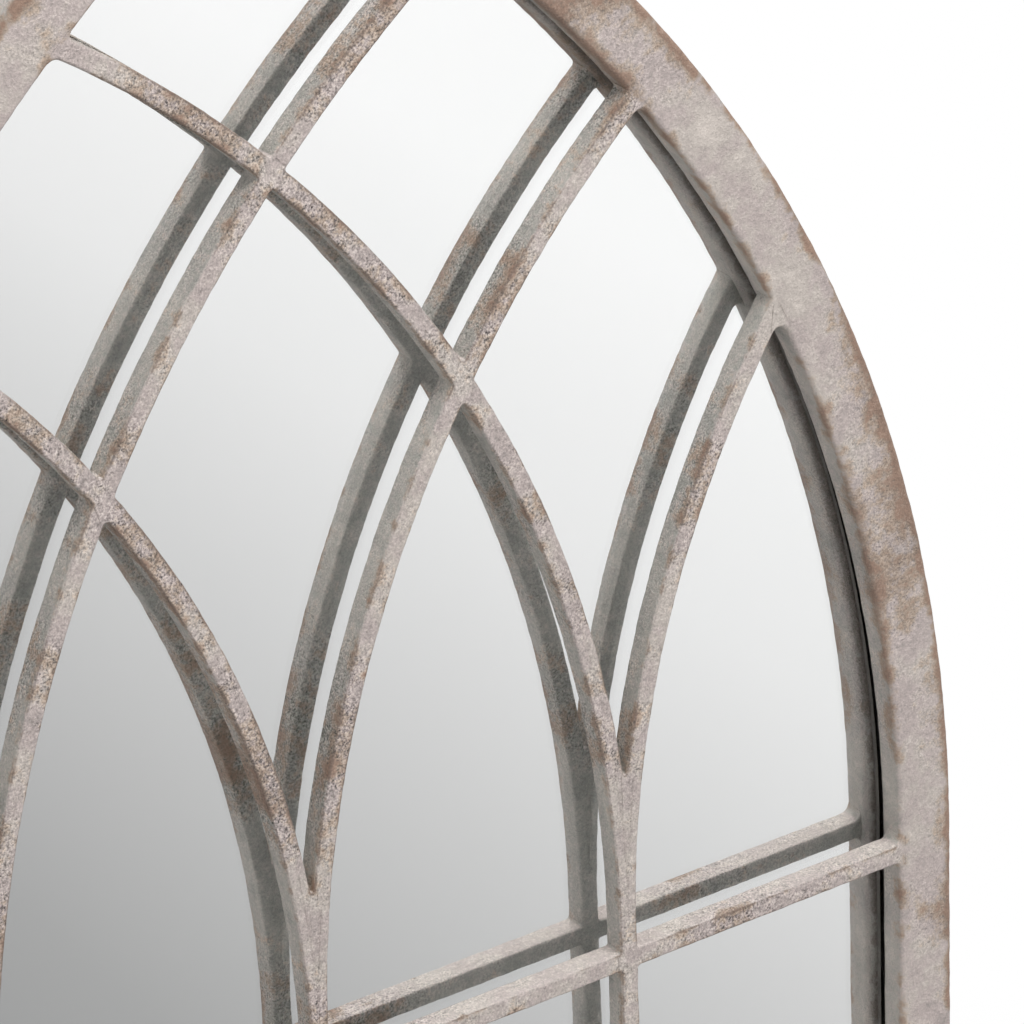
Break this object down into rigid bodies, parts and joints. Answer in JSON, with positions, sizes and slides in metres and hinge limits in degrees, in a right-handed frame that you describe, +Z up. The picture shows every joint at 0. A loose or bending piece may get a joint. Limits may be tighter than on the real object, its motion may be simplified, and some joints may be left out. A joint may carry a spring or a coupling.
{
  "type": "garden mirror",
  "caption": "Pointed-arch garden mirror in painted iron, with intersecting tracery and glazing bars over a backed mirror pane, hung on keyhole plates.",
  "frame": {"origin": "on the wall plane, on the centre line, level with the head holes of the two hanging keyholes", "axes": "+X to the right seen from the front, +Y back into the wall, +Z up; the mirror faces -Y"},
  "size_m": [0.808, 0.035, 1.5003],
  "materials": {
    "distressed_paint": "whitewash over rust-brown, worn at the edges",
    "glazing_tape": "closed-cell foam, matt",
    "clear_glass": "polished float glass",
    "silvering": "silvered, backed with paint",
    "backing_board": "hardboard, black stained",
    "tab_steel": "bare primer",
    "hanger_steel": "bare primer"
  },
  "bodies": {
    "root": {"frame_right_stile": "distressed_paint", "frame_left_stile": "distressed_paint", "frame_bottom_rail": "distressed_paint", "frame_right_arch": "distressed_paint", "frame_left_arch": "distressed_paint", "mullion_left": "distressed_paint", "mullion_centre": "distressed_paint", "mullion_right": "distressed_paint", "springing_transom": "distressed_paint", "lower_glazing_bar_1": "distressed_paint", "lower_glazing_bar_2": "distressed_paint", "long_arc_rightward": "distressed_paint", "middle_arc_rightward": "distressed_paint", "short_arc_rightward": "distressed_paint", "long_arc_leftward": "distressed_paint", "middle_arc_leftward": "distressed_paint", "short_arc_leftward": "distressed_paint", "crossing_welds": "distressed_paint", "notch_welds": "distressed_paint", "frame_welds": "distressed_paint", "glazing_tape_right_stile": "glazing_tape", "glazing_tape_left_stile": "glazing_tape", "glazing_tape_bottom_rail": "glazing_tape", "glazing_tape_right_arch": "glazing_tape", "glazing_tape_left_arch": "glazing_tape", "mirror_glass": "clear_glass", "silver_coat": "silvering", "backing_board": "backing_board", "board_tabs_right_stile": "tab_steel", "board_tabs_left_stile": "tab_steel", "board_tabs_bottom_rail": "tab_steel", "board_tabs_right_arch": "tab_steel", "board_tabs_left_arch": "tab_steel", "hanger_plate_right": "hanger_steel", "hanger_plate_left": "hanger_steel", "hanger_welds": "hanger_steel"}
  },
  "joints": []
}
